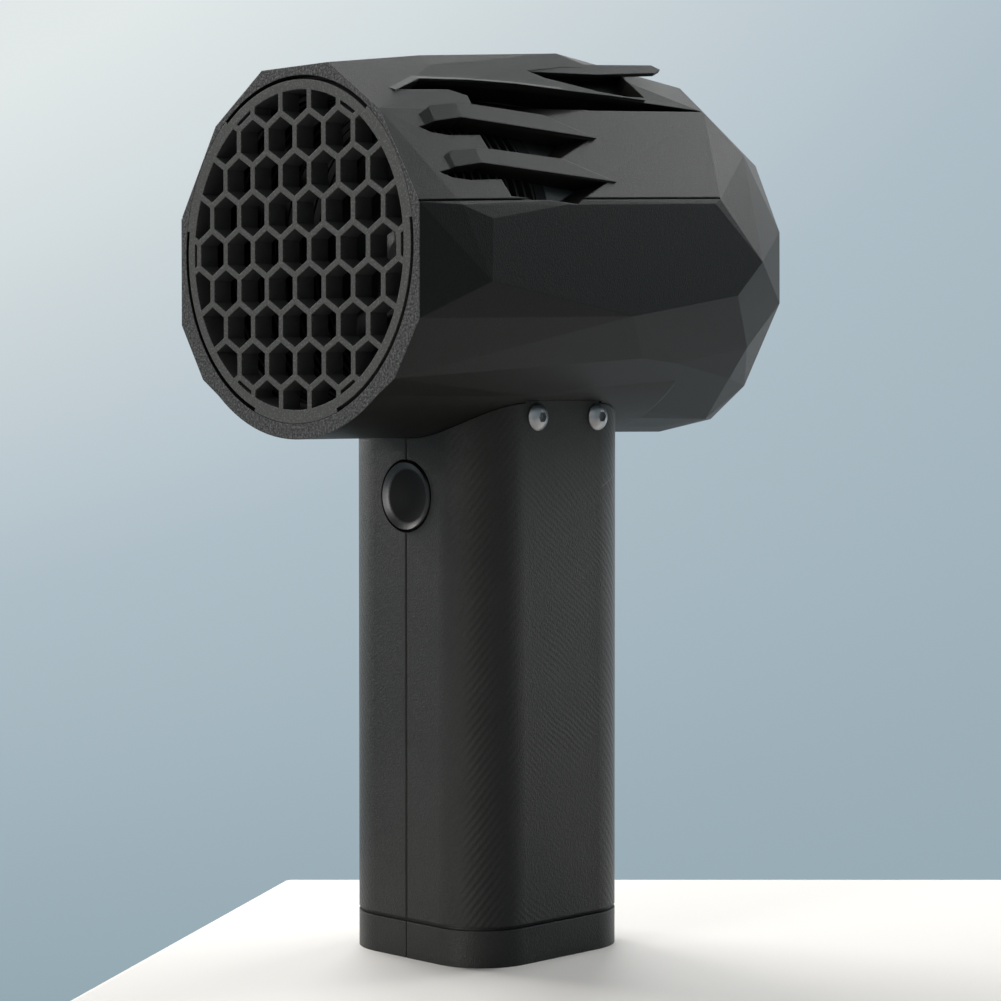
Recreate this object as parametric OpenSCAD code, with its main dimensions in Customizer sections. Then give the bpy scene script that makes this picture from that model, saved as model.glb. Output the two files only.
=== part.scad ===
// Handheld jet dryer for drying cars: a ducted fan in a faceted barrel, on a straight battery grip.
// Frame: origin at the centre of the grip's foot, +Z up. Air enters at -Y and leaves at +Y.

/* [Grip] */
// Width of the grip, side to side
grip_w = 45.2; // [44:0.2:52]
// Depth of the grip, front to back
grip_d = 48; // [47:0.5:56]
// Radius of the grip's upright corners
grip_corner_r = 12.6; // [9:0.2:14]
// Wall thickness of the grip shells
grip_wall = 2.4; // [2:0.1:2.8]
// Height of the base cap, up to its reveal groove
cap_h = 7.7; // [6:0.1:10]
// Height and depth of the reveal groove above the base cap
reveal = 0.8; // [0.5:0.1:1.2]
// Width of the bevel along each shell's seam edge
seam_bevel = 0.35; // [0.2:0.05:0.6]
// Height of the side tabs above the underside of the barrel's neck
tab_rise = 11.2; // [10.4:0.1:12]
// Gap round the side tabs in the barrel's pocket
tab_gap = 0.4; // [0.2:0.05:0.6]

/* [Barrel] */
// Reach of the intake face in front of the grip's axis
intake_reach = 54.5; // [54:0.5:62]
// Reach of the outlet face behind the grip's axis
outlet_reach = 60; // [60:0.5:70]
// Wall between the fan's bore and the flat side panels
side_wall = 4.1; // [3.8:0.1:5]
// Wall between the bore and the round belly
belly_wall = 3.8; // [3.4:0.1:4.2]
// Height of the crown's ridge above the bore
crown_rise = 10.1; // [9:0.1:13]

/* [Intake grille] */
// Distance between neighbouring honeycomb cells
cell_pitch = 8.8; // [7:0.1:11]
// Thickness of the honeycomb's ribs
rib_w = 1.3; // [1:0.1:2]
// Depth of the honeycomb
comb_depth = 4.5; // [3:0.5:7]
// Width of the black slots round the grille
slot_w = 0.85; // [0.5:0.05:1.2]
// Depth of those slots
slot_depth = 3.5; // [2:0.5:4]
// Depth of the grille's rim
rim_depth = 6; // [5:0.5:8]

/* [Gills] */
// Number of gills on each upper side panel
gill_count = 3; // [1:1:3]
// Distance between neighbouring gills
gill_pitch = 11; // [10.4:0.1:11.4]
// How far the fins stand proud of the panels
fin_rise = 1.4; // [0.6:0.1:2]
// Thickness of the tail fin on the crown
tail_fin_t = 0.9; // [0.8:0.1:1.6]

/* [Fan] */
// Inner radius of the fan duct
duct_r = 32.25; // [30:0.05:36]
// Wall of the fan duct
duct_wall = 1.85; // [1.6:0.05:2.4]
// Length of the fan duct
duct_len = 59; // [56:1:64]
// Number of rotor blades
blade_count = 11; // [5:1:13]
// Number of stator vanes
vane_count = 5; // [3:2:7]
// Radius of the rotor hub
hub_r = 15.8; // [15:0.1:17]
// Gap between blade tips and duct
tip_gap = 0.4; // [0.3:0.05:0.8]
// Radius of the motor shaft
shaft_r = 1.585; // [1.5:0.005:2]

/* [Outlet] */
// Radius of the outlet's straight bore
outlet_r = 28; // [24:0.1:28.5]
// Length of the outlet's straight bore
outlet_straight = 10; // [6:0.5:11]
// Wall of the outlet nozzle
nozzle_wall = 2.4; // [2:0.1:2.5]

/* [Button] */
// How far the button's centre lies below the underside of the barrel's neck
button_drop = 9.4; // [9:0.1:11]
// Radius of the button
button_r = 7.3; // [6:0.1:8]
// Gap round the button
button_gap = 0.4; // [0.2:0.05:0.6]
// Travel of the button
button_travel = 1.5; // [0.5:0.1:2]
// How far the button's rim stands proud of the grip
button_proud = 0.7; // [0.3:0.1:1.2]

/* [Fasteners] */
// Radius of the side screws' button heads
head_r = 2.85; // [2.5:0.05:3.2]
// Height of those heads
head_h = 1.65; // [1.2:0.05:2]
// Radius of the screw threads
thread_r = 1.5; // [1.25:0.05:1.5]
// Height of the side screws above the underside of the barrel's neck
screw_rise = 7.2; // [6.8:0.1:7.4]
// Distance between the two screws of one side
screw_pitch = 18.2; // [14:0.1:22]
// Place of the screw pair along the barrel
screw_mid_y = 1.6; // [0:0.1:3]

/* [Battery and electronics] */
// Radius of a battery cell
cell_r = 9.2; // [8.8:0.05:9.3]
// Length of a battery cell
cell_len = 65; // [60:0.5:75]
// Height of the space for the speed controller, between the cells and the barrel
control_room = 19.6; // [19.2:0.1:24]
// Thickness of the circuit boards
board_t = 1.6; // [1:0.1:2]
// Radius of the motor's leads
lead_r = 1.1; // [0.8:0.1:1.2]

/* [Hidden] */
$fn = 64;
fit = 0.3;                       // clearance of parts that drop into a housing
slip = 0.15;                     // clearance of parts that slide in a guide
touch = 0.05;                    // clearance of round parts that are glued, screwed or pressed in
run = 0.03;                      // clearance of a shaft that turns
skin = 1;                        // overlap of a cutting solid past the face it cuts
charcoal = [0.09, 0.09, 0.095];
printed_black = [0.06, 0.06, 0.065];
steel = [0.62, 0.62, 0.64];
copper = [0.72, 0.42, 0.22];
gold_brass = [0.75, 0.6, 0.28];
board_green = [0.05, 0.2, 0.12];

// Stations along the barrel
bore_r = duct_r + duct_wall + fit;   // the bore that takes the fan
intake_y = -intake_reach;
outlet_y = outlet_reach;
nozzle_flange_t = 5;
nozzle_taper = 6;
duct_end_y = outlet_y - outlet_straight - nozzle_taper;
duct_y = duct_end_y - duct_len;
duct_outer_r = bore_r - fit;
bellmouth_len = 3;
base_t = 2;
web_t = 2.5;
lead_gap = 0.3;
lead_y = 9.9;                    // the first of the motor's leads, which run down into the grip
base_y = lead_y - lead_r - lead_gap - base_t;   // seat of the motor on the cup's web
cup_y = base_y - web_t;          // front face of the motor cup
cup_len = 36;
cup_wall = 1.6;
cup_r = hub_r + 0.5;
hub_len = 13.8;
hub_y = cup_y - hub_len - 0.7;   // front face of the rotor hub
tail_len = duct_end_y + nozzle_taper - cup_y - cup_len - 0.5;

// Grille radii, from the duct outwards
comb_r = duct_r;
rim_r = bore_r - slip;
slot_r = rim_r + slot_w;

// Grip levels, upwards from the foot
shell_z = cap_h + reveal;
spigot_z = shell_z + 2.5;
boss_z = spigot_z + 0.2;
boss_h = 7;
boss_r = 3.6;
boss_x = grip_w / 2 - 7.4;
boss_y = grip_d / 2 - 7.2;
holder_z = boss_z + boss_h;
holder_floor = 1.8;
holder_h = 10;
link_t = 0.3;
cell_z = holder_z + holder_floor + link_t;
roof_z = cell_z + cell_len + link_t + holder_floor;
neck_h = 2.8;
neck_z = roof_z + control_room;
axis_z = neck_z + neck_h + belly_wall + bore_r;
tab_z = neck_z + tab_rise;
tab_len = grip_d - 2 * grip_corner_r - 0.4;
neck_w = grip_w - 2 * grip_wall - 2 * fit;
neck_d = grip_d - 2 * grip_wall - 2 * fit;
neck_corner_r = grip_corner_r - grip_wall - fit;
cell_x = cell_r + 0.4;
cell_y = cell_r + 1;

// Side screws
screw_ys = [screw_mid_y - screw_pitch / 2, screw_mid_y + screw_pitch / 2];
screw_z = neck_z + screw_rise;
insert_len = 5;
insert_r = 2.1;
screw_len = 8.6;

// Button and switch, from the grip's front face inwards
button_z = neck_z - button_drop;
front_y = -grip_d / 2;
inner_front_y = front_y + grip_wall;
flange_t = 1.6;
flange_y = inner_front_y + fit;
plunger_y = flange_y + flange_t + 1.7;
plunger_r = 1.7;
switch_y = plunger_y + button_travel + 1.5;
switch_w = 12;
switch_t = 7;
switch_board_y = switch_y + switch_t;
switch_board_w = 19;
switch_board_h = 17;

// Speed controller and motor leads
lead_pitch = 2.8;
lead_ys = [for (i = [0:2]) lead_y + i * lead_pitch];
esc_y = lead_y - lead_r - 1.6 - board_t;
esc_w = 26;
esc_h = 17;
fet_w = 5;
fet_t = 1;
fet_h = 4.2;
fet_z = roof_z + 7;
lead_bend = 2.2;
chase_w = 2 * lead_r + 1;
chase_y0 = lead_y - lead_r - lead_gap;
chase_len = 2 * (lead_pitch + lead_r + lead_gap);

// Motor
tube_r = 4.5;
bearing_r = 3.5;
bearing_t = 3;
stator_y = chase_y0 + chase_len + 3.6;
stator_len = 9;
stator_r = 11.2;
tooth_count = 9;
tooth_w = 2;
coil_over = 1.5;
bell_r = hub_r - 1.9;
bell_wall = 0.8;
magnet_t = 1.4;
magnet_count = 10;
bell_y = stator_y - coil_over - 1.6;
tube_end_y = stator_y + stator_len + coil_over + 2.6;
bell_end_y = tube_end_y + 1.7;
bell_back_t = 1.3;
nut_r = 4.4;
nut_t = 3;
motor_screw_ring_r = 8;
base_r = motor_screw_ring_r + 4.5;

// A corner of the barrel's facets: station, clock angle from +X, and wall over a radius
function corner(y, angle, wall, r = bore_r) = [(r + wall) * cos(angle), y, (r + wall) * sin(angle)];
// A corner that lies on the flat side panel, which spreads towards the bottom
side_lean = 5.7;
side_x = bore_r + side_wall;
side_top = 10;
function on_side(y, z, inset = 0) = [side_x - inset + (side_top - z) * tan(side_lean), y, z];
// A point part of the way between two corners
function between(a, b, t) = a + (b - a) * t;

nose_top = corner(intake_y, 12.15, 3.15);
nose_low = corner(intake_y, -21.5, 5.05);
waist_top = on_side(intake_y + 17.7, 5.4);
waist_low = on_side(intake_y + 16.4, -6.95);
brow_front = between(nose_top, waist_top, 0.58) + [0, 0, 1.35];
brow_mid = on_side(intake_y + 39.4, 10.2, 0.25);
brow_rear = on_side(outlet_y - 27.1, 12.8, 0.3);
rim_wall_r = outlet_r + nozzle_wall + fit;
facet_corners = [
    // intake face
    corner(intake_y, 74.5, 3.9),
    corner(intake_y, 46.6, 2.25),
    nose_top,
    nose_low,
    corner(intake_y, -41.3, 5),
    corner(intake_y, -60, 3.6),
    corner(intake_y, -78, 3.2),
    // crown
    corner(intake_y + 25, 76.1, crown_rise - 2.8),
    corner(intake_y + 25, 70.8, crown_rise - 4),
    corner(11, 77.3, crown_rise + 1.1),
    corner(outlet_y - 12, 71.9, crown_rise - 2.7),
    // shoulder behind the gills
    corner(outlet_y - 18.7, 51.6, 7.4),
    corner(outlet_y - 10.6, 37.9, 4.2),
    // brow above the side panel
    brow_front, brow_mid, brow_rear,
    // side panel, with a narrow waist near the intake
    waist_top, waist_low,
    on_side(intake_y + 39, 9.15),
    on_side(outlet_y - 29.2, 11.75),
    on_side(outlet_y - 14.8, -0.25),
    on_side(outlet_y - 24, -7.8),
    on_side(2, -13),
    // lower crease and lower shoulder
    corner(12.2, -32.1, 6),
    corner(outlet_y - 34.9, -34.5, 5.2),
    corner(outlet_y - 12, -29.7, 3.4),
    corner(outlet_y - 12.4, -42.3, 3.5),
    corner(outlet_y - 7, -64.5, 3.9),
    corner(outlet_y - 17.6, -71.7, 3.8),
    corner(outlet_y - 13, -78, 3.9),
    // outlet face
    corner(outlet_y, 74.6, 3.1, rim_wall_r),
    corner(outlet_y, 41.6, 2.9, rim_wall_r),
    corner(outlet_y, 12.5, 2.2, rim_wall_r),
    corner(outlet_y, -15.1, 2.65, rim_wall_r),
    corner(outlet_y, -50.9, 4.2, rim_wall_r),
    corner(outlet_y, -70.9, 6, rim_wall_r)
];

// Gills: outlines as [distance round the panel, station], on the upper side panel
panel_tilt = 58.5;               // the panel's normal, from straight up
panel_pitch = 2.6;               // its lean towards the intake
panel_offset = bore_r + 3.2;     // its distance from the barrel's axis
gill_top_v = 8.4;
gill_start = intake_y + 8.2;
gill_peak = intake_y + 19.8;
gill_step = intake_y + 24.4;
gill_end = intake_y + 43.5;
gill_tip = intake_y + 55.2;
gill_ramp = 45;                  // slope of each gill's rear end
gill_outline = [
    [-2.9, gill_start], [-1.6, gill_start + 4.6], [-0.7, gill_peak], [-3.7, gill_tip],
    [-9.6, gill_end], [-8.2, gill_step], [-4.1, gill_step - 0.6], [-4.6, gill_start + 7.2], [-4.1, gill_start + 2.6]
];
gill_rear = [[-9.6, gill_end], [-3.7, gill_tip]];
fin_band = [
    [-2.9, gill_start], [-1.6, gill_start + 4.6], [-0.7, gill_peak], [-3.7, gill_tip + 1.2],
    [1.4, gill_end], [2.8, gill_step], [2.8, gill_peak], [2.1, gill_start + 5], [-0.4, gill_start + 0.4]
];
// The topmost gill, whose upper edge lies on the crown panel
long_gill_outline = [
    [-3.3, gill_start], [0.5, gill_peak - 2.2], [1, gill_peak + 11.3], [0.8, intake_y + 43.9],
    [-0.3, intake_y + 56.5], [-6.7, intake_y + 59.3], [-10.1, gill_end], [-8.1, gill_step + 1.5],
    [-4, gill_step + 2.8], [-2.3, gill_step - 1.2], [-3.1, gill_start + 1]
];
long_gill_rear = [[-10.1, gill_end], [-6.7, intake_y + 59.3]];
// It runs on as a sliver along the crown panel's edge
sliver_outline = [
    [0.8, intake_y + 43.9], [-0.3, intake_y + 56.5], [-1.4, intake_y + 66.9], [-4.4, outlet_y - 19.6],
    [-4.8, outlet_y - 19.6], [-6.7, intake_y + 59.3]
];
// Crown panel: the pocket under the tail fin, the fin, and the long gill's raised edge
crown_tilt = 41.5;
crown_pitch = 3.5;
crown_offset = bore_r + 4.8;
crown_pocket_outline = [
    [14.7, 51.4], [17, 64], [17.2, 81.5], [12.8, 80.1], [6.9, 80.7], [6.9, 75.4], [8.3, 67.9], [11.1, 59.1], [12.3, 55]
];
tail_fin_outline = [
    [14.7, 51.4], [14.8, 72.4], [16.5, 91.5], [17.9, 94.5], [19.4, 92.8], [18.5, 76.4], [18.3, 66.5], [18.3, 51.4]
];
long_edge = [[5.2, 8.6], [9.5, 17.6], [9.8, 31.1], [9.2, 43.9], [7.7, 56.5], [6.6, 66.9], [5.2, 79]];

// ---------- helpers ----------

// Places children on the barrel's axis, their Z along +Y
module along_axis(y) {
    translate([0, y, axis_z]) rotate([-90, 0, 0]) children();
}

// Places an outline drawn as [distance round the panel, station] on a panel of the barrel
module on_panel(tilt, pitch, offset) {
    translate([0, 0, axis_z]) rotate([pitch, tilt, 0]) translate([0, offset * tan(pitch), offset]) children();
}

module on_upper_panel(k = 1) {
    on_panel(panel_tilt, panel_pitch, panel_offset)
        translate([-gill_top_v - (k - 1) * gill_pitch, 0, 0]) children();
}

module on_crown_panel() {
    on_panel(crown_tilt, crown_pitch, crown_offset) children();
}

// Turns [distance, station] pairs into that panel's own plane; stations may count from the intake
function panel_points(outline, start = 0) = [for (p = outline) [-p[0], p[1] + start]];

module both_sides() {
    children();
    mirror([1, 0, 0]) children();
}

module ring(outer, inner, h) {
    difference() {
        cylinder(r = outer, h = h);
        translate([0, 0, -skin]) cylinder(r = inner, h = h + 2 * skin);
    }
}

module box(size, at) {
    translate([at[0] - size[0] / 2, at[1] - size[1] / 2, at[2]]) cube(size);
}

// Upright block with four round corners
module round_block(w, d, r, z, h) {
    translate([0, 0, z]) linear_extrude(height = h) {
        square([w - 2 * r, d], center = true);
        square([w, d - 2 * r], center = true);
        for (x = [-1, 1], y = [-1, 1]) translate([x * (w / 2 - r), y * (d / 2 - r)]) circle(r = r);
    }
}

module grip_block(inset, z, h) {
    round_block(grip_w - 2 * inset, grip_d - 2 * inset, grip_corner_r - inset, z, h);
}

// ---------- barrel ----------

module facet_body() {
    points = [for (s = [-1, 1]) for (c = facet_corners) [s * c[0], c[1], c[2]]];
    translate([0, 0, axis_z]) hull() polyhedron(points = points, faces = [[for (i = [0:len(points) - 1]) i]]);
}

module belly() {
    belly_end = outlet_y - 30;
    belly_top = 22;
    belly_r = bore_r + belly_wall;
    tail_drop = 1.8;
    tail_run = 4.5;
    intersection() {
        union() {
            along_axis(intake_y) cylinder(r = belly_r, h = belly_end - intake_y);
            along_axis(belly_end) cylinder(r1 = belly_r, r2 = belly_r - tail_drop, h = tail_run);
        }
        translate([-grip_w, intake_y, axis_z - belly_top - bore_r]) cube([2 * grip_w, 3 * outlet_y, bore_r]);
    }
}

// Plinth that reaches down between the grip's side tabs
module neck() {
    round_block(neck_w, neck_d, neck_corner_r, neck_z, bore_r / 3);
}

// The flat stretch of each grip side runs up as a tab; with a gap, its pocket in the barrel
module side_tabs(inner_x, gap) {
    base = tab_z - 6;
    both_sides() translate([inner_x, -tab_len / 2 - gap, base])
        cube([grip_w / 2 + gap - inner_x, tab_len + 2 * gap, tab_z + gap - base]);
}

module gill_cut(outline, depth = 9) {
    translate([0, 0, -depth]) linear_extrude(height = depth + 6) polygon(panel_points(outline));
}

// Keeps a cut above a plane that falls inwards from the line between two panel points
module above_ramp(rear) {
    run = panel_points(rear)[1] - panel_points(rear)[0];
    reach = 60;
    translate(concat(panel_points(rear)[0], 0)) rotate(atan2(run[1], run[0])) rotate([-gill_ramp, 0, 0])
        translate([-reach, 0, 0]) cube([2 * reach, 2 * reach, reach]);
}

// Raised edge of a gill: it climbs from the nose to the peak and stays proud up to the tip
module gill_fin() {
    root = 1.6;
    nose_run = 4.4;
    nose_share = 0.65;
    tail_share = 0.7;
    fin_end = gill_tip + 2;
    reach = 8;
    intersection() {
        translate([0, 0, -reach]) linear_extrude(height = 2 * reach) polygon(panel_points(fin_band));
        rotate([90, 0, -90]) translate([0, 0, -reach]) linear_extrude(height = 2 * reach)
            polygon([[-gill_start - 1, -root], [-gill_start, -0.1], [-gill_start - nose_run, nose_share * fin_rise],
                [-gill_peak, fin_rise], [-fin_end, tail_share * fin_rise], [-fin_end, -root]]);
    }
}

// Low bevelled rib along an edge from a to b, steep on the edge's lower side
module raised_edge(a, b, rise, width) {
    run = b - a;
    lap = 0.3;
    root = 1.2;
    translate([-a[0], a[1], 0]) rotate(atan2(run[0], run[1])) rotate([-90, 0, 0])
        linear_extrude(height = norm(run) + lap) polygon([[0, root], [0, -rise], [-width, 0], [-width, root]]);
}

module crown_pocket() {
    depth = 3.4;
    translate([0, 0, -depth]) linear_extrude(height = 12) polygon(panel_points(crown_pocket_outline, intake_y));
}

module tail_fin() {
    translate([0, 0, -tail_fin_t]) linear_extrude(height = tail_fin_t)
        polygon(panel_points(tail_fin_outline, intake_y));
}

module long_gill_edge() {
    rise = 0.65;
    wide = 2;
    narrow = 1;
    wide_spans = 4;
    translate([0, intake_y, 0]) for (i = [0:len(long_edge) - 2])
        raised_edge(long_edge[i], long_edge[i + 1], rise, i < wide_spans ? wide : narrow);
}

// Thin shadow line between the upper panel and the brow
module brow_groove() {
    line_h = 0.4;
    for (span = [[nose_top, brow_mid], [brow_mid, brow_rear]]) {
        run = span[1] - span[0];
        translate([0, 0, axis_z]) translate(span[0])
            rotate([atan2(run[2], run[1]), 0, atan2(-run[0], run[1])])
                translate([-0.5, 0, 0]) cube([2, norm(run), line_h]);
    }
}

module barrel_shell() {
    color(charcoal) difference() {
        union() {
            difference() {
                union() {
                    facet_body();
                    belly();
                    neck();
                }
                both_sides() {
                    for (k = [0:gill_count - 2]) on_upper_panel(k) intersection() {
                        gill_cut(gill_outline);
                        above_ramp(gill_rear);
                    }
                    on_upper_panel(2) {
                        intersection() {
                            gill_cut(long_gill_outline);
                            above_ramp(long_gill_rear);
                        }
                        gill_cut(sliver_outline);
                    }
                    on_crown_panel() crown_pocket();
                    brow_groove();
                }
            }
            both_sides() {
                for (k = [0:gill_count - 2]) on_upper_panel(k) gill_fin();
                on_crown_panel() {
                    long_gill_edge();
                    tail_fin();
                }
            }
        }
        // bore for the fan, front seat for the grille and rear passage for the nozzle
        along_axis(intake_y - skin) cylinder(r = bore_r, h = duct_end_y + nozzle_flange_t - intake_y + skin);
        along_axis(intake_y - skin) cylinder(r = slot_r, h = slot_depth + skin);
        along_axis(duct_end_y) cylinder(r = rim_wall_r, h = outlet_y - duct_end_y + skin);
        side_tabs(neck_w / 2, tab_gap);
        // wire chase down through the neck, and the screw inserts' holes
        box([chase_w, chase_len, bore_r], [0, chase_y0 + chase_len / 2, neck_z - skin]);
        for (side = [-1, 1], y = screw_ys)
            translate([side * neck_w / 2, y, screw_z]) rotate([0, -side * 90, 0]) {
                translate([0, 0, -skin]) cylinder(r = insert_r, h = insert_len + skin);
                cylinder(r = thread_r + slip, h = insert_len + 1.5);
            }
    }
}

// ---------- intake grille ----------

module honeycomb_holes() {
    row_gap = cell_pitch * sin(60);
    rows = ceil(comb_r / row_gap);
    hole_r = (cell_pitch - rib_w) / 2 / cos(30);
    for (row = [-rows:rows]) {
        shift = (abs(row) % 2) * cell_pitch / 2;
        columns = ceil(comb_r / cell_pitch) + 1;
        for (col = [-columns:columns]) {
            x = col * cell_pitch + shift;
            y = row * row_gap;
            if (norm([x, y]) < comb_r + hole_r * 0.75)
                translate([x, y, -skin]) rotate(30) cylinder(r = hole_r, h = comb_depth + 2 * skin, $fn = 6);
        }
    }
}

// Three lugs fill the slot between its black stretches
module grille_lugs() {
    lug_angles = [30, 150, 270];
    lug_half = 21.5;
    for (a = lug_angles) rotate(-a) intersection() {
        ring(slot_r - 2 * touch, rim_r - 0.5, slot_depth);
        linear_extrude(height = slot_depth)
            polygon([[0, 0], 2 * slot_r * [cos(lug_half), -sin(lug_half)], 2 * slot_r * [cos(lug_half), sin(lug_half)]]);
    }
}

module intake_grille() {
    color(charcoal) along_axis(intake_y) {
        difference() {
            cylinder(r = comb_r + 0.5, h = comb_depth);
            honeycomb_holes();
        }
        ring(rim_r, comb_r, rim_depth);
        grille_lugs();
    }
}

// ---------- fan unit ----------

module bellmouth_ring() {
    color(printed_black) along_axis(duct_y - bellmouth_len) rotate_extrude()
        polygon([[duct_outer_r, 0], [duct_outer_r, bellmouth_len], [duct_r, bellmouth_len],
            for (a = [90:-15:15]) [duct_outer_r - 0.2 - 1.65 * sin(a), bellmouth_len * (1 - cos(a))]]);
}

// Curved plate that reads as a vane from behind: a prism with an arc for its section
module vane(length, thickness, lean) {
    arc_r = length * 1.2;
    intersection() {
        translate([arc_r * cos(lean), arc_r * sin(lean)]) difference() {
            circle(r = arc_r + thickness / 2);
            circle(r = arc_r - thickness / 2);
        }
        translate([-length / 2, 0]) square([length, length]);
    }
}

// The leads' way from the grip into the motor cup
module lead_chase() {
    box([chase_w, chase_len, duct_outer_r - cup_r + 3], [0, chase_y0 + chase_len / 2, axis_z - duct_outer_r - skin]);
}

module fan_duct() {
    color(printed_black) difference() {
        along_axis(duct_y) ring(duct_outer_r, duct_r, duct_len);
        lead_chase();
    }
}

// Motor cup on vanes that seat against the duct's wall; the lowest one is hollow for the leads
module guide_vanes() {
    chase_outer = 6;
    vane_len = 20;
    vane_t = 1.8;
    color(printed_black) difference() {
        union() {
            along_axis(cup_y) {
                ring(cup_r, cup_r - cup_wall, cup_len);
                cylinder(r = cup_r - cup_wall / 2, h = web_t);
            }
            intersection() {
                for (i = [0:vane_count - 1]) translate([0, 0, axis_z]) rotate([0, i * 360 / vane_count, 0])
                    translate([0, cup_y + 1, -duct_r - skin]) linear_extrude(height = duct_r + skin - cup_r + 0.6)
                        if (i == 0) translate([-chase_outer / 2, 0]) square([chase_outer, vane_len]);
                        else vane(vane_len, vane_t, 4);
                along_axis(cup_y) cylinder(r = duct_r - touch, h = cup_len);
            }
        }
        // shaft, motor screws and the leads' way in
        along_axis(cup_y - skin) {
            cylinder(r = tube_r + slip, h = web_t + 2 * skin);
            for (a = [45:90:315]) rotate(a) translate([motor_screw_ring_r, 0, 0])
                cylinder(r = thread_r + slip, h = web_t + 2 * skin);
        }
        lead_chase();
    }
}

module outlet_nozzle() {
    flange_r = bore_r - fit;
    total = nozzle_taper + outlet_straight;
    outer = outlet_r + nozzle_wall;
    color(printed_black) along_axis(duct_end_y) rotate_extrude()
        polygon([[duct_r, 0], [outlet_r, nozzle_taper], [outlet_r, total], [outer, total],
            [outer, nozzle_flange_t], [flange_r, nozzle_flange_t], [flange_r, 0]]);
}

module tail_cone() {
    steps = 6;
    color(printed_black) along_axis(cup_y + cup_len) {
        rotate_extrude() polygon([[0, 0], for (i = [0:steps]) [cup_r * cos(i * 78 / steps), tail_len * sin(i * 78 / steps)],
            [0, tail_len * sin(78)]]);
        translate([0, 0, -3]) ring(cup_r - cup_wall - slip, cup_r - cup_wall - 2, 3.5);
    }
}

// ---------- rotor ----------

module blade() {
    blade_len = duct_r - hub_r + 1;
    chord = 11.5;
    camber_r = chord * 1.1;
    translate([0, 0, hub_r - 1]) linear_extrude(height = blade_len, twist = 22, slices = 4, $fn = 10)
        rotate(-48) polygon([
            for (a = [-28:14:28]) [camber_r * sin(a), camber_r * (cos(a) - cos(28)) + 0.75 * cos(a * 3)],
            for (a = [28:-14:-28]) [camber_r * sin(a), camber_r * (cos(a) - cos(28)) - 0.25 * cos(a * 3)]]);
}

module fan_rotor() {
    boss_r = tube_r;
    wall = 1.5;
    front_t = 2;
    color(charcoal) {
        along_axis(hub_y) difference() {
            cylinder(r = hub_r, h = hub_len);
            translate([0, 0, front_t]) ring(hub_r - wall, boss_r, hub_len);
            translate([0, 0, -skin]) cylinder(r = shaft_r + touch, h = hub_len + 2 * skin);
            translate([0, 0, hub_len - 1]) cylinder(r = boss_r + skin, h = 2 * skin);
        }
        intersection() {
            along_axis(hub_y) ring(duct_r - tip_gap, hub_r - 0.5, hub_len);
            along_axis(hub_y + hub_len / 2) for (i = [0:blade_count - 1])
                rotate(i * 360 / blade_count) rotate([90, 0, 0]) rotate(90) blade();
        }
    }
}

module rotor_nut() {
    color(steel) along_axis(hub_y - nut_t) difference() {
        cylinder(r = nut_r, h = nut_t, $fn = 6);
        translate([0, 0, -skin]) cylinder(r = shaft_r + touch, h = nut_t + 2 * skin);
    }
}

module spinner_nose() {
    length = 15.5;
    steps = 7;
    cavity_r = nut_r + 1.2;
    color(charcoal) along_axis(hub_y) difference() {
        rotate([180, 0, 0]) rotate_extrude()
            polygon([[0, 0], for (i = [0:steps - 1]) [hub_r * cos(i * 90 / steps), length * sin(i * 90 / steps)], [0, length]]);
        translate([0, 0, -nut_t - 2]) cylinder(r = cavity_r, h = nut_t + 2 + skin);
    }
}

// ---------- motor ----------

module motor_base() {
    color([0.5, 0.5, 0.52]) along_axis(base_y) difference() {
        union() {
            cylinder(r = base_r, h = base_t);
            cylinder(r = tube_r, h = tube_end_y - base_y);
        }
        translate([0, 0, -skin]) cylinder(r = shaft_r + 0.6, h = tube_end_y - base_y + 2 * skin);
        translate([0, 0, -skin]) cylinder(r = bearing_r, h = bearing_t + skin);
        translate([0, 0, tube_end_y - base_y - bearing_t]) cylinder(r = bearing_r, h = bearing_t + skin);
        for (a = [45:90:315]) rotate(a) translate([motor_screw_ring_r, 0, -skin])
            cylinder(r = thread_r + touch, h = base_t + 2 * skin);
    }
}

module bearing(y) {
    color(steel) along_axis(y) ring(bearing_r - touch, shaft_r + run, bearing_t);
}

module front_bearing() {
    bearing(base_y);
}

module rear_bearing() {
    bearing(tube_end_y - bearing_t);
}

module motor_shaft() {
    shaft_y = hub_y - nut_t - 0.8;
    color(steel) along_axis(shaft_y) cylinder(r = shaft_r, h = bell_end_y - shaft_y);
}

module motor_stator() {
    core_r = 6.4;
    tip_t = 1;
    tip_half = 3.2;
    color([0.35, 0.35, 0.37]) along_axis(stator_y) linear_extrude(height = stator_len) difference() {
        union() {
            circle(r = core_r);
            intersection() {
                circle(r = stator_r);
                for (i = [0:tooth_count - 1]) rotate(i * 360 / tooth_count) {
                    translate([core_r / 2, -tooth_w / 2]) square([stator_r, tooth_w]);
                    translate([stator_r - tip_t, 0]) polygon([
                        [0, -tip_half], [2 * tip_t, -tip_half - 0.3], [2 * tip_t, tip_half + 0.3], [0, tip_half]]);
                }
            }
        }
        circle(r = tube_r + touch);
    }
}

module motor_windings() {
    coil_t = 0.9;
    inner_r = 6.6;
    coil_len = stator_r - 1.1 - inner_r;
    outer_w = tooth_w + 2 * coil_t;
    color(copper) along_axis(stator_y - coil_over) for (i = [0:tooth_count - 1])
        rotate(i * 360 / tooth_count) translate([inner_r, 0, 0]) difference() {
            translate([0, -outer_w / 2, 0]) cube([coil_len, outer_w, stator_len + 2 * coil_over]);
            translate([-skin, -tooth_w / 2, coil_over]) cube([coil_len + 2 * skin, tooth_w, stator_len]);
        }
}

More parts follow.
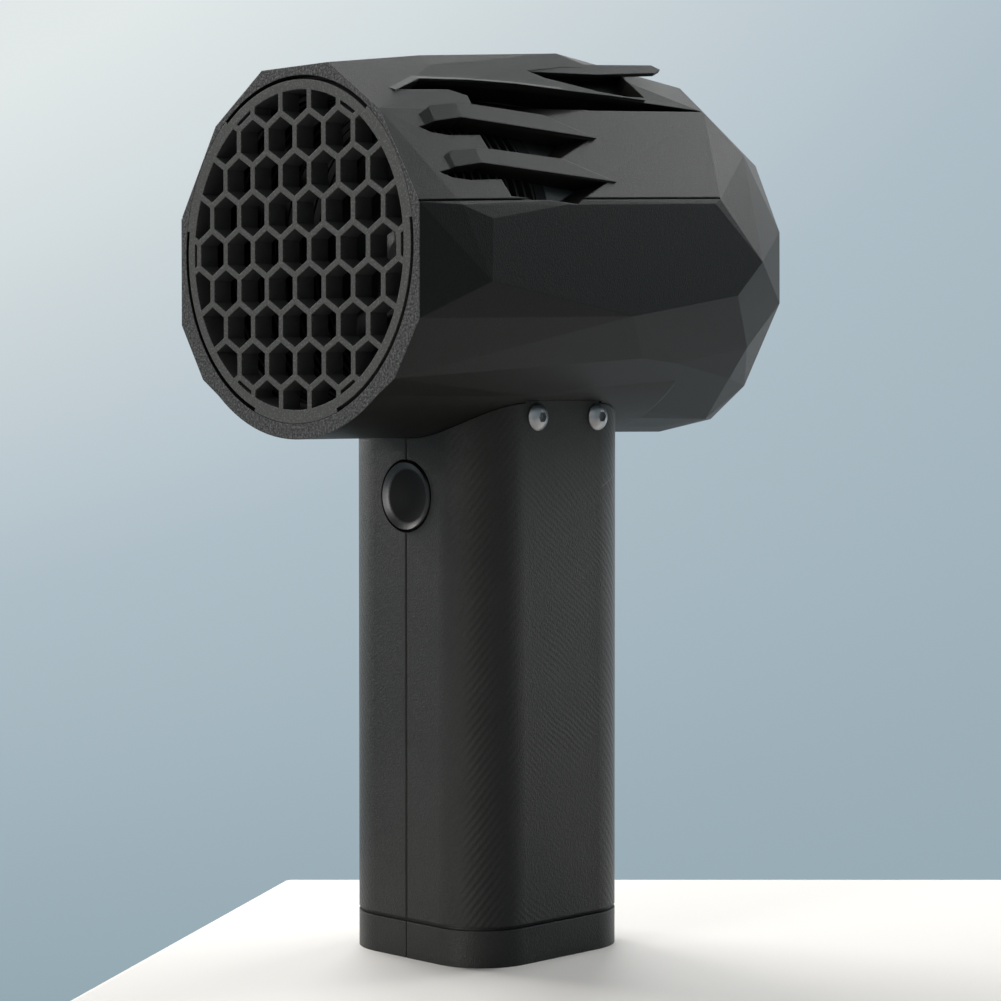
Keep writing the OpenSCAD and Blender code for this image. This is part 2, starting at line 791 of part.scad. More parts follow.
module motor_bell() {
    color([0.2, 0.2, 0.22]) {
        along_axis(bell_y) ring(bell_r, bell_r - bell_wall, bell_end_y - bell_y);
        along_axis(bell_end_y - bell_back_t) difference() {
            cylinder(r = bell_r - bell_wall / 2, h = bell_back_t);
            translate([0, 0, -skin]) cylinder(r = shaft_r + touch, h = bell_back_t + 2 * skin);
            for (a = [0:60:300]) rotate(a) translate([bell_r / 2 + 1, 0, -skin])
                cylinder(r = 2.4, h = bell_back_t + 2 * skin);
        }
    }
}

module motor_magnets() {
    gap_angle = 4;
    outer = bell_r - bell_wall - touch;
    half = 180 / magnet_count - gap_angle / 2;
    color([0.55, 0.55, 0.56]) along_axis(stator_y) for (i = [0:magnet_count - 1])
        rotate(i * 360 / magnet_count) intersection() {
            ring(outer, outer - magnet_t, stator_len);
            linear_extrude(height = stator_len)
                polygon([[0, 0], 2 * outer * [cos(half), -sin(half)], 2 * outer * [cos(half), sin(half)]]);
        }
}

module motor_screws() {
    color(steel) along_axis(cup_y) for (a = [45:90:315]) rotate(a) translate([motor_screw_ring_r, 0, 0]) {
        cylinder(r = thread_r, h = web_t + base_t);
        translate([0, 0, -head_h]) difference() {
            cylinder(r = head_r - 0.3, h = head_h);
            translate([0, 0, -skin]) cylinder(r = 1.1, h = skin + 1, $fn = 6);
        }
    }
}

// ---------- grip ----------

// Both shells as one body, before they are parted along the seam
module grip_body() {
    rail_front = switch_board_y - 1.9;
    difference() {
        union() {
            difference() {
                grip_block(0, shell_z, tab_z - shell_z);
                grip_block(grip_wall, shell_z - skin, tab_z - shell_z + 2 * skin);
                // saddle under the barrel
                along_axis(-grip_d) cylinder(r = bore_r + belly_wall + 2 * touch, h = 2 * grip_d);
            }
            side_tabs(grip_w / 2 - grip_wall, 0);
            intersection() {
                grip_block(grip_wall / 2, shell_z, tab_z - shell_z);
                for (x = [-1, 1]) {
                    for (y = [-1, 1]) translate([x * boss_x, y * boss_y, boss_z]) cylinder(r = boss_r, h = boss_h);
                    // rails for the two circuit boards
                    box([grip_w / 2 - switch_board_w / 2 + 1, 5.4, switch_board_h - 2],
                        [x * (grip_w / 4 + switch_board_w / 4 - 0.5), switch_board_y + board_t / 2, button_z - switch_board_h / 2 + 1]);
                    box([grip_w / 2 - esc_w / 2 + 1, 4.8, esc_h - 1],
                        [x * (grip_w / 4 + esc_w / 4 - 0.5), esc_y + board_t / 2, roof_z]);
                }
            }
        }
        // slots that take the boards' edges
        box([switch_board_w + 2 * slip, board_t + 2 * slip, switch_board_h + 2 * slip],
            [0, switch_board_y + board_t / 2, button_z - switch_board_h / 2 - slip]);
        box([esc_w + 2 * slip, board_t + 2 * slip, esc_h + 2 * slip], [0, esc_y + board_t / 2, roof_z - slip]);
        // button, side screws and cap screws
        translate([0, front_y - skin, button_z]) rotate([-90, 0, 0])
            cylinder(r = button_r + button_gap, h = grip_wall + 2 * skin);
        for (side = [-1, 1], y = screw_ys) translate([side * (grip_w / 2 + skin), y, screw_z])
            rotate([0, -side * 90, 0]) cylinder(r = thread_r + slip, h = grip_wall + 2 * skin);
        for (x = [-1, 1], y = [-1, 1]) translate([x * boss_x, y * boss_y, boss_z - skin])
            cylinder(r = thread_r + touch, h = boss_h - 1 + skin);
    }
}

// One shell, with its seam edges bevelled front and back
module grip_half() {
    intersection() {
        grip_body();
        translate([0, -grip_d, 0]) cube([grip_w, 2 * grip_d, axis_z]);
    }
}

module seam_bevels() {
    for (turn = [0, 1]) mirror([0, turn, 0]) translate([0, front_y, shell_z - skin])
        linear_extrude(height = axis_z)
            polygon([[-skin, -skin], [seam_bevel + skin, -skin], [-skin, seam_bevel + skin]]);
}

module grip_shell_right() {
    color(charcoal) difference() {
        grip_half();
        seam_bevels();
    }
}

module grip_shell_left() {
    color(charcoal) mirror([1, 0, 0]) difference() {
        grip_half();
        seam_bevels();
    }
}

module base_cap() {
    sink_h = 1.8;
    color(charcoal) difference() {
        union() {
            grip_block(0, 0, cap_h);
            grip_block(reveal, cap_h - skin, reveal + skin);
            grip_block(grip_wall + fit, cap_h, spigot_z - cap_h);
        }
        for (x = [-1, 1], y = [-1, 1]) translate([x * boss_x, y * boss_y, -skin]) {
            cylinder(r = thread_r + slip, h = spigot_z + 2 * skin);
            cylinder(r = head_r + slip, h = skin + sink_h);
        }
        // seam line carried on from the shells
        for (y = [-grip_d / 2, grip_d / 2]) box([0.3, 0.5, cap_h + skin], [0, y, -skin / 2]);
    }
}

module cap_screws() {
    color(steel) for (x = [-1, 1], y = [-1, 1]) translate([x * boss_x, y * boss_y, 0]) {
        translate([0, 0, 1.8]) cylinder(r = thread_r, h = boss_z + boss_h - 1 - 1.8);
        difference() {
            translate([0, 0, 0.3]) cylinder(r = head_r, h = 1.5);
            cylinder(r = 1.1, h = 1.3, $fn = 6);
        }
    }
}

module grip_screws() {
    color(steel) for (side = [-1, 1], y = screw_ys)
        translate([side * grip_w / 2, y, screw_z]) rotate([0, side * 90, 0]) {
            translate([0, 0, -screw_len]) cylinder(r = thread_r, h = screw_len);
            difference() {
                intersection() {
                    cylinder(r = head_r, h = head_h);
                    translate([0, 0, head_h - 3.6]) sphere(r = 3.6);
                }
                translate([0, 0, head_h - 1.1]) rotate(30) cylinder(r = 1.15, h = 2, $fn = 6);
            }
        }
}

module screw_inserts() {
    color(gold_brass) for (side = [-1, 1], y = screw_ys)
        translate([side * (neck_w / 2), y, screw_z]) rotate([0, -side * 90, 0])
            ring(insert_r - touch, thread_r + touch, insert_len);
}

// ---------- button and switch ----------

// Round key with a raised rolled rim and a dished face
module button_cap() {
    roll_r = 1.15;
    face = button_proud;
    dish_drop = 1.3;
    color([0.03, 0.03, 0.03]) translate([0, front_y - face, button_z]) rotate([-90, 0, 0]) {
        difference() {
            union() {
                rotate_extrude() translate([button_r - roll_r, roll_r]) circle(r = roll_r);
                translate([0, 0, roll_r]) cylinder(r = button_r, h = flange_y - front_y + face - roll_r + 0.2);
                translate([0, 0, flange_y - front_y + face]) cylinder(r = button_r + 1.4, h = flange_t);
                translate([0, 0, flange_y - front_y + face]) cylinder(r = 3, h = plunger_y - flange_y);
            }
            translate([0, 0, dish_drop + roll_r - 13]) sphere(r = 13);
        }
    }
}

module switch_plunger() {
    color([0.75, 0.75, 0.72]) translate([0, plunger_y, button_z]) rotate([-90, 0, 0])
        cylinder(r = plunger_r, h = switch_y - plunger_y + 2);
}

module switch_body() {
    color([0.05, 0.05, 0.05]) difference() {
        box([switch_w, switch_t, switch_w], [0, switch_y + switch_t / 2, button_z - switch_w / 2]);
        translate([0, switch_y - skin, button_z]) rotate([-90, 0, 0])
            cylinder(r = plunger_r + slip, h = skin + 2 + button_travel + 0.5);
    }
}

module switch_board() {
    color(board_green) box([switch_board_w, board_t, switch_board_h],
        [0, switch_board_y + board_t / 2, button_z - switch_board_h / 2]);
}

module switch_leads() {
    start = switch_board_y + board_t;
    color([0.6, 0.1, 0.08]) for (x = [-4, 4]) translate([x, start, roof_z + 2]) rotate([-90, 0, 0])
        cylinder(r = 0.6, h = esc_y - start);
}

// ---------- speed controller ----------

module esc_board() {
    color(board_green) box([esc_w, board_t, esc_h], [0, esc_y + board_t / 2, roof_z]);
}

module esc_mosfets() {
    color([0.08, 0.08, 0.08]) for (col = [-1, 0, 1], row = [0, 1])
        box([fet_w, fet_t, fet_h], [col * (fet_w + 2), esc_y - fet_t / 2, fet_z + row * (fet_h + 0.8)]);
}

module esc_heatsink() {
    plate_t = 1;
    sink_w = esc_w - 5;
    sink_h = 2 * fet_h + 1.6;
    sink_z = fet_z - 0.2;
    fin_t = 0.8;
    fin_len = 2.4;
    fins = 9;
    plate_y = esc_y - fet_t - plate_t / 2;
    color([0.7, 0.7, 0.72]) {
        box([sink_w, plate_t, sink_h], [0, plate_y, sink_z]);
        for (i = [0:fins - 1])
            box([fin_t, fin_len, sink_h], [(i / (fins - 1) - 0.5) * (sink_w - 1.4), plate_y - 1.5, sink_z]);
    }
}

module esc_capacitor() {
    can_r = 4;
    can_h = 14;
    color([0.1, 0.12, 0.3]) translate([can_r + 1 - esc_w / 2, esc_y + board_t + can_r + 0.2, roof_z + 1])
        cylinder(r = can_r, h = can_h);
}

// A lead that leaves a board towards +Y or -Y and turns straight up or down
module lead_elbow(radius) {
    rotate([90, 0, 90]) rotate_extrude(angle = 90) translate([lead_bend, 0]) circle(r = radius);
}

module phase_leads() {
    board_y = esc_y + board_t;
    top = axis_z - cup_r + cup_wall + 3;
    color([0.1, 0.1, 0.1]) for (i = [0:2]) {
        leg_z = roof_z + 3 + (2 - i) * lead_pitch;
        y = lead_ys[i];
        translate([0, board_y, leg_z]) rotate([-90, 0, 0]) cylinder(r = lead_r, h = y - lead_bend - board_y);
        translate([0, y - lead_bend, leg_z + lead_bend]) rotate([-90, 0, 0]) lead_elbow(lead_r);
        translate([0, y, leg_z + lead_bend]) cylinder(r = lead_r, h = top - leg_z - lead_bend);
    }
}

module battery_leads() {
    rise = 1.5;
    y = esc_y - lead_bend - 0.6;
    out = esc_w / 2 - 2.5;
    color([0.6, 0.08, 0.06]) for (x = [-out, out]) {
        translate([x, y, roof_z]) cylinder(r = lead_r, h = rise);
        translate([x, y + lead_bend, roof_z + rise]) mirror([0, 1, 0]) lead_elbow(lead_r);
        translate([x, y + lead_bend, roof_z + rise + lead_bend]) rotate([-90, 0, 0])
            cylinder(r = lead_r, h = esc_y - y - lead_bend);
    }
}

// ---------- battery ----------

module at_cells() {
    for (x = [-1, 1], y = [-1, 1]) translate([x * cell_x, y * cell_y, 0]) children();
}

module cell_holder_lower() {
    color(printed_black) difference() {
        round_block(neck_w, neck_d, neck_corner_r, holder_z, holder_h);
        translate([0, 0, holder_z + holder_floor]) at_cells() cylinder(r = cell_r + slip, h = holder_h);
    }
}

module cell_holder_upper() {
    color(printed_black) difference() {
        round_block(neck_w, neck_d, neck_corner_r, roof_z - holder_h, holder_h);
        translate([0, 0, roof_z - holder_floor - holder_h]) at_cells() cylinder(r = cell_r + slip, h = holder_h);
    }
}

module cell_links() {
    link_w = 8;
    color([0.7, 0.68, 0.62]) for (z = [cell_z - link_t, cell_z + cell_len]) at_cells()
        translate([0, 0, z]) cylinder(r = link_w / 2, h = link_t);
}

module battery_cell(i) {
    x = (i % 2 == 0 ? -1 : 1) * cell_x;
    y = (i < 2 ? -1 : 1) * cell_y;
    color([0.15, 0.3, 0.6]) translate([x, y, cell_z]) cylinder(r = cell_r, h = cell_len);
}

module battery_cell_1() {
    battery_cell(0);
}

module battery_cell_2() {
    battery_cell(1);
}

module battery_cell_3() {
    battery_cell(2);
}

module battery_cell_4() {
    battery_cell(3);
}

barrel_shell();
intake_grille();
bellmouth_ring();
fan_duct();
guide_vanes();
outlet_nozzle();
tail_cone();
fan_rotor();
rotor_nut();
spinner_nose();
motor_base();
motor_stator();
motor_windings();
motor_bell();
motor_magnets();
motor_shaft();
front_bearing();
rear_bearing();
motor_screws();
grip_shell_right();
grip_shell_left();
base_cap();
cap_screws();
grip_screws();
screw_inserts();
button_cap();
switch_plunger();
switch_body();
switch_board();
switch_leads();
esc_board();
esc_mosfets();
esc_heatsink();
esc_capacitor();
phase_leads();
battery_leads();
cell_holder_lower();
cell_holder_upper();
cell_links();
battery_cell_1();
battery_cell_2();
battery_cell_3();
battery_cell_4();
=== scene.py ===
import math

import bmesh
import bpy
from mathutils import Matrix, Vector


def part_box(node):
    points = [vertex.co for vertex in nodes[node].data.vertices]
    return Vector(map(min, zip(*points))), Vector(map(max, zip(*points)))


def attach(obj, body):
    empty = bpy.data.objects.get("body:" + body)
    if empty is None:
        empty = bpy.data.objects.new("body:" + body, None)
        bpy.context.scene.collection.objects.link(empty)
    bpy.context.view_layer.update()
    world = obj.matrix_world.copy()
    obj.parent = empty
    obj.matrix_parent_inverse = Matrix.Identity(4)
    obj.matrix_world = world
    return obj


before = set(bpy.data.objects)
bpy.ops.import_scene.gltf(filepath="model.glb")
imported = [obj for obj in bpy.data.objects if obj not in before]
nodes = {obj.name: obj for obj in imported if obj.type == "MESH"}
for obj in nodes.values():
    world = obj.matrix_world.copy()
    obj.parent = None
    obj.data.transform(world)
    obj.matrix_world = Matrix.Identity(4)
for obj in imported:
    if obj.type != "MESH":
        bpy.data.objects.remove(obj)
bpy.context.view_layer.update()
MM = 0.001
AXIS_Z = 148 * MM   # height of the barrel's axis


# ---------- camera ----------

# fitted to the photograph
AZIMUTH, ELEVATION = math.radians(45.09), math.radians(1.671)
TARGET = Vector((2.04, 2.04, 101.5)) * MM
DISTANCE = 581.5 * MM
FOCAL_PX = 2686.25
IMAGE_PX = 1001
SENSOR_MM = 36
BACK = Vector((math.sin(AZIMUTH) * math.cos(ELEVATION), -math.cos(AZIMUTH) * math.cos(ELEVATION),
               math.sin(ELEVATION)))

camera = bpy.data.objects.new("camera", bpy.data.cameras.new("camera"))
bpy.context.scene.collection.objects.link(camera)
camera.data.sensor_width = SENSOR_MM
camera.data.sensor_fit = "AUTO"
camera.data.lens = FOCAL_PX * SENSOR_MM / IMAGE_PX
camera.data.shift_y = -0.0254
camera.data.clip_start, camera.data.clip_end = 0.02, 50
camera.location = TARGET + BACK * DISTANCE
camera.rotation_mode = "QUATERNION"
camera.rotation_quaternion = (-BACK).to_track_quat("-Z", "Y")
bpy.context.scene.camera = camera
bpy.context.scene.view_settings.view_transform = "Standard"


# ---------- node helpers ----------

class Graph:
    """A material's or world's nodes, made in one line each."""

    def __init__(self, tree):
        self.tree = tree
        tree.nodes.clear()

    def node(self, kind, inputs=None, **settings):
        n = self.tree.nodes.new(kind)
        for key, value in settings.items():
            setattr(n, key, value)
        for key, value in (inputs or {}).items():
            if isinstance(value, bpy.types.NodeSocket):
                self.tree.links.new(value, n.inputs[key])
            else:
                n.inputs[key].default_value = value
        return n

    def place(self):
        return self.node("ShaderNodeTexCoord").outputs["Object"]

    def math(self, operation, a, b=0.0, clamp=False):
        return self.node("ShaderNodeMath", {0: a, 1: b}, operation=operation, use_clamp=clamp).outputs[0]

    def add(self, a, b, clamp=False):
        return self.math("ADD", a, b, clamp)

    def times(self, a, b, clamp=False):
        return self.math("MULTIPLY", a, b, clamp)

    def size_of(self, value):
        return self.math("ABSOLUTE", value)

    def vector(self, operation, a, b=(0, 0, 0)):
        n = self.node("ShaderNodeVectorMath", {0: a, 1: b}, operation=operation)
        return n.outputs["Vector" if operation == "SUBTRACT" else "Value"]

    def split(self, vector):
        return self.node("ShaderNodeSeparateXYZ", {0: vector}).outputs

    def joined(self, **parts):
        return self.node("ShaderNodeCombineXYZ", parts).outputs[0]

    def span(self, value, low, high):
        """A value from 0 to 1 brought to low to high."""
        return self.node("ShaderNodeMapRange", {
            "Value": value, "To Min": low, "To Max": high}).outputs[0]

    def mask(self, value, start, end):
        """0 before start, 1 after end."""
        return self.node("ShaderNodeMapRange", {
            "Value": value, "From Min": start, "From Max": end}).outputs[0]

    def noise(self, vector, size, detail=2.0, rough=0.5):
        """Noise whose features are about size metres across."""
        return self.node("ShaderNodeTexNoise", {
            "Vector": vector, "Scale": 1 / size, "Detail": detail, "Roughness": rough,
        }).outputs["Fac"]

    def lines(self, vector, axis, pitch, distortion, detail, detail_scale):
        """Fine parallel lines across one axis."""
        return self.node("ShaderNodeTexWave", {
            "Vector": vector, "Scale": math.pi / (10 * pitch), "Distortion": distortion,
            "Detail": detail, "Detail Scale": detail_scale,
        }, wave_type="BANDS", bands_direction=axis, wave_profile="SIN").outputs["Fac"]

    def band(self, vector, direction, pitch, waver):
        """Soft stripes across a direction, bent a little by a broad noise."""
        phase = self.times(self.vector("DOT_PRODUCT", vector, direction), 2 * math.pi / pitch)
        phase = self.add(phase, self.times(self.noise(vector, 14 * MM, 1.0), waver))
        return self.math("SINE", phase)

    def ramp(self, value, stops):
        n = self.node("ShaderNodeValToRGB", {"Fac": value})
        elements = n.color_ramp.elements
        while len(elements) < len(stops):
            elements.new(0.5)
        for e, (at, colour) in zip(elements, stops):
            e.position = at
            e.color = (*colour, 1)
        return n.outputs["Color"]

    def mix(self, factor, a, b):
        """Colour a, going over to colour b."""
        return self.node("ShaderNodeMix", {"Factor": factor, "A": a, "B": b},
                         data_type="RGBA").outputs["Result"]

    def bump(self, height, distance, normal=None):
        inputs = {"Height": height, "Distance": distance, "Strength": 1.0}
        if normal is not None:
            inputs["Normal"] = normal
        return self.node("ShaderNodeBump", inputs).outputs["Normal"]

    def finish(self, colour, roughness, normal=None, **others):
        """The shader, with its other sockets by name."""
        inputs = {"Base Color": colour, "Roughness": roughness}
        if normal is not None:
            inputs["Normal"] = normal
        for key, value in others.items():
            inputs[key.replace("_", " ")] = value
        shader = self.node("ShaderNodeBsdfPrincipled", inputs)
        self.node("ShaderNodeOutputMaterial", {"Surface": shader.outputs[0]})


def grey(v, tint=0.0):
    """A grey, with its blue raised or lowered by the share tint."""
    return (v, v, v * (1 + tint))


def scaled(colour, k):
    return tuple(c * k for c in colour)


def new_material(name):
    m = bpy.data.materials.new(name)
    m.use_nodes = True
    return m, Graph(m.node_tree)


# ---------- materials ----------

WARM = -0.15               # the printed plastic's tint
EDGE_RADIUS = 0.35 * MM    # how far its edges look rounded
LAYER = 0.2 * MM
GRAIN = 0.35 * MM
BROAD = 9 * MM
DRIFT = 12 * MM            # how far apart moulded plastic drifts in tone
CELL_WALL = grey(0.035)
SCRATCH = grey(0.06)
# heights of the relief
GRAIN_HEIGHT = 0.09 * MM
STREAK_HEIGHT = 0.03 * MM
SIDE_PRINT_HEIGHT = 0.011 * MM
GRIT_HEIGHT = 0.3 * MM
MOULDED_HEIGHT = 0.01 * MM


def toolpath(g, at):
    """Height of slanted streaks on the grip's round corners and of a finer print on its sides."""
    turn = g.split(g.node("ShaderNodeNewGeometry").outputs["True Normal"])
    across, ahead = g.size_of(turn["X"]), g.size_of(turn["Y"])
    corner = g.times(g.times(across, ahead), 2, clamp=True)
    side = g.mask(across, 0.9, 1.0)
    split = g.split(at)
    # the same on all four corners
    mirrored = g.joined(X=g.size_of(split["X"]), Y=g.times(g.size_of(split["Y"]), -1), Z=split["Z"])
    rising = g.band(mirrored, (-0.55, -0.55, 0.6), 1.25 * MM, 3.0)
    falling = g.band(at, (0.0, 0.6, 0.8), 1.1 * MM, 22.0)
    fading = g.mask(g.noise(at, 18 * MM, 1.0), 0.35, 0.65)
    on_corners = g.times(g.times(rising, corner), STREAK_HEIGHT)
    on_sides = g.times(g.times(g.times(falling, side), fading), SIDE_PRINT_HEIGHT)
    return g.add(on_corners, on_sides)


def scratch_line(g, at, start, end):
    """1 along a thin wavering line on the right side, from start to end."""
    run = (end - start).normalized()
    offset = g.vector("SUBTRACT", at, tuple(start))
    along = g.vector("DOT_PRODUCT", offset, tuple(run))
    beside = g.vector("DOT_PRODUCT", offset, (0.0, -run.z, run.y))
    beside = g.add(beside, g.times(g.noise(at, 3 * MM, 2.0), 0.4 * MM))
    line = g.mask(g.size_of(g.math("SUBTRACT", beside, 0.2 * MM)), 0.16 * MM, 0.04 * MM)
    line = g.times(line, g.mask(along, 0.0, 1.5 * MM))
    line = g.times(line, g.mask(along, (end - start).length, (end - start).length - 3 * MM))
    return g.times(line, g.mask(g.split(at)["X"], 20 * MM, 21 * MM))


def printed(name, low, high, layer_axis, ridge=0.012 * MM, rough=0.5, speckle=0.0, relief=1.0, sheen=0.5,
            first_layer=None, cell_walls=None, streaks=False, scratch=None):
    """Printed plastic: fine layers across layer_axis under a grained, slightly mottled skin.

    first_layer: Y of a face that was printed on the bed, which is paler and speckled.
    cell_walls: Y of the front face, behind which the cells' walls have a grey of their own.
    scratch: start and end of one scratch.
    """
    m, g = new_material(name)
    at = g.place()
    wave = g.lines(at, layer_axis, LAYER, 0.6, 1.0, 0.02)
    fine = g.noise(at, GRAIN, 3.0, 0.6)
    broad = g.noise(at, BROAD, 2.0, 0.5)
    mottle = g.add(g.times(fine, 0.75), g.times(broad, 0.25))
    colour = g.ramp(mottle, [(0.3, grey(low, WARM)), (0.7, grey(high, WARM))])
    spread = g.span(fine, rough - 0.06, rough + 0.06)
    height = g.times(fine, GRAIN_HEIGHT * relief)
    if speckle:
        spot = g.ramp(g.noise(at, 0.45 * MM, 1.0, 0.4), [(0.52, grey(0)), (0.68, grey(1))])
        colour = g.mix(spot, colour, (*grey(speckle), 1))
    if cell_walls is not None:
        inside = g.mask(g.split(at)["Y"], cell_walls + 0.3 * MM, cell_walls + 0.8 * MM)
        colour = g.mix(inside, colour, (*CELL_WALL, 1))
    if first_layer is not None:
        face = g.mask(g.split(at)["Y"], first_layer + 0.12 * MM, first_layer + 0.04 * MM)
        grit = g.noise(at, 0.5 * MM, 2.0, 0.55)
        pale = g.ramp(grit, [(0.36, grey(0.018)), (0.5, grey(0.048)), (0.66, grey(0.105))])
        colour = g.mix(face, colour, pale)
        height = g.add(height, g.times(g.times(grit, face), GRIT_HEIGHT))
    if streaks:
        height = g.add(height, toolpath(g, at))
    if scratch:
        colour = g.mix(scratch_line(g, at, *scratch), colour, (*SCRATCH, 1))
    soft_edges = g.node("ShaderNodeBevel", {"Radius": EDGE_RADIUS}, samples=4).outputs["Normal"]
    normal = g.bump(height, 1.0, g.bump(wave, ridge, soft_edges))
    g.finish(colour, spread, normal, Specular_IOR_Level=sheen)
    return m


def moulded(name, base, rough=0.4, grain=0.5 * MM, **constants):
    """Moulded plastic or a plain coating: faint grain, slight drift of tone."""
    m, g = new_material(name)
    at = g.place()
    fine = g.noise(at, grain, 2.0)
    broad = g.noise(at, DRIFT, 2.0)
    drift = g.add(g.times(fine, 0.4), g.times(broad, 0.6))
    colour = g.ramp(drift, [(0.3, scaled(base, 0.82)), (0.7, scaled(base, 1.18))])
    spread = g.span(broad, rough - 0.05, rough + 0.07)
    g.finish(colour, spread, g.bump(fine, MOULDED_HEIGHT), **constants)
    return m


def turned(name, base, rough=0.3, axis="Y", pitch=0.15 * MM, grain_cut=0.006 * MM):
    """Turned or drawn metal: fine lines across one axis."""
    m, g = new_material(name)
    at = g.place()
    cut = g.lines(at, axis, pitch, 1.2, 2.0, 0.05)
    stain = g.noise(at, 2.5 * MM, 3.0, 0.6)
    colour = g.ramp(stain, [(0.25, scaled(base, 0.75)), (0.75, scaled(base, 1.1))])
    spread = g.span(stain, rough - 0.08, rough + 0.12)
    g.finish(colour, spread, g.bump(cut, grain_cut), Metallic=1.0)
    return m


DISH_R, RIM_R = 5.3 * MM, 6.0 * MM


def button_finish(name):
    """Black button: a matt dish inside a polished rolled rim."""
    m, g = new_material(name)
    at = g.place()
    low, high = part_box("button_cap")
    centre = tuple((a + b) / 2 for a, b in zip(low, high))
    parts = g.split(g.vector("SUBTRACT", at, centre))
    radius = g.vector("LENGTH", g.joined(X=parts["X"], Z=parts["Z"]))
    rim = g.mask(radius, DISH_R, RIM_R)
    fine = g.noise(at, 0.3 * MM, 2.0)
    rough = g.add(g.times(rim, -0.3), g.add(g.times(fine, 0.1), 0.62))
    colour = g.ramp(g.add(g.times(rim, 0.7), g.times(fine, 0.3)),
                    [(0.0, grey(0.0015)), (0.35, grey(0.002)), (1.0, grey(0.06))])
    g.finish(colour, rough, g.bump(fine, MOULDED_HEIGHT), Metallic=rim, Specular_IOR_Level=0.12)
    return m


barrel_print = printed("barrel_print", 0.004, 0.0075, "Y", rough=0.46, sheen=0.16, relief=0.6,
                       first_layer=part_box("barrel_shell")[0][1])
grip_print = printed("grip_print", 0.004, 0.014, "Z", ridge=0.04 * MM, rough=0.38, sheen=0.26, relief=1.1,
                     streaks=True, scratch=(Vector((22.6, 11.5, 99)) * MM, Vector((22.6, 20.6, 103)) * MM))
cap_print = printed("cap_print", 0.004, 0.014, "Z", ridge=0.03 * MM, rough=0.4, sheen=0.27, relief=1.1)
grille_print = printed("grille_print", 0.02, 0.034, "Y", rough=0.6, speckle=0.07, relief=0.8,
                       cell_walls=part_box("intake_grille")[0][1])
fan_black = moulded("fan_black", grey(0.014), 0.35)
matt_black = moulded("matt_black", grey(0.006), 0.6, Specular_IOR_Level=0.15)
rotor_black = moulded("rotor_black", grey(0.02), 0.3, grain=0.8 * MM)
steel = turned("screw_steel", (0.3, 0.3, 0.305), 0.33)
aluminium = turned("motor_aluminium", (0.62, 0.62, 0.64))
laminations = turned("laminations", (0.25, 0.25, 0.27), 0.4, pitch=0.35 * MM, grain_cut=0.03 * MM)
copper = turned("enamelled_copper", (0.62, 0.26, 0.1), 0.25, pitch=0.5 * MM, grain_cut=0.12 * MM)
bell_black = turned("bell_black", (0.03, 0.03, 0.035), 0.35)
nickel = turned("magnet_nickel", (0.55, 0.55, 0.54), 0.25)
bearing = turned("bearing_steel", (0.6, 0.6, 0.61), 0.18)
brass = turned("insert_brass", (0.76, 0.55, 0.25), axis="X", pitch=0.5 * MM, grain_cut=0.08 * MM)
gloss = button_finish("button_gloss")
plunger = moulded("plunger_plastic", (0.68, 0.65, 0.58))
chip = moulded("chip_plastic", grey(0.016), 0.45)
board = moulded("circuit_board", (0.01, 0.085, 0.035), 0.25, Coat_Weight=0.4)
red_sleeve = moulded("red_sleeve", (0.42, 0.015, 0.012))
black_sleeve = moulded("black_sleeve", grey(0.015), 0.42)
heatsink = turned("heatsink", (0.66, 0.66, 0.68), axis="Z")
capacitor = moulded("capacitor_sleeve", (0.015, 0.02, 0.12), 0.3)
holder = moulded("holder_plastic", grey(0.022), 0.45)
link = turned("link_nickel", (0.6, 0.57, 0.52), 0.28)
cell = moulded("cell_wrap", (0.03, 0.14, 0.38), 0.3, Coat_Weight=0.3)

# what each node wears
FINISH = {
    "barrel_shell": barrel_print, "intake_grille": grille_print,
    "grip_shell_right": grip_print, "grip_shell_left": grip_print, "base_cap": cap_print,
    "bellmouth_ring": matt_black, "fan_duct": fan_black, "guide_vanes": fan_black,
    "outlet_nozzle": fan_black, "tail_cone": fan_black,
    "fan_rotor": rotor_black, "spinner_nose": rotor_black,
    "rotor_nut": steel, "motor_screws": steel, "cap_screws": steel, "grip_screws": steel,
    "motor_base": aluminium, "motor_stator": laminations, "motor_windings": copper,
    "motor_bell": bell_black, "motor_magnets": nickel, "motor_shaft": bearing,
    "front_bearing": bearing, "rear_bearing": bearing, "screw_inserts": brass,
    "button_cap": gloss, "switch_plunger": plunger,
    "switch_body": chip, "esc_mosfets": chip, "switch_board": board, "esc_board": board,
    "switch_leads": red_sleeve, "battery_leads": red_sleeve, "phase_leads": black_sleeve,
    "esc_heatsink": heatsink, "esc_capacitor": capacitor,
    "cell_holder_lower": holder, "cell_holder_upper": holder, "cell_links": link,
    "battery_cell_1": cell, "battery_cell_2": cell, "battery_cell_3": cell, "battery_cell_4": cell,
}
for name, material in FINISH.items():
    slots = nodes[name].data.materials
    slots.clear()
    slots.append(material)


# ---------- louvre behind the gills, a dark piece put in as painted shade ---

LOUVRE_R = 34.3 * MM       # just inside the barrel's bore
LOUVRE_FRONT = -46.8 * MM
BLADE_DEPTH, BLADE_T, BLADE_PITCH = 2.7 * MM, 0.6 * MM, 2.3 * MM
RIB_IN, RIB_OUT = 2.6 * MM, 0.1 * MM    # how far the ribs' faces lie within LOUVRE_R
RIB_HALF = 1 * MM
BOX_FACES = ((0, 1, 2, 3), (7, 6, 5, 4), (0, 4, 5, 1), (1, 5, 6, 2), (2, 6, 7, 3), (3, 7, 4, 0))


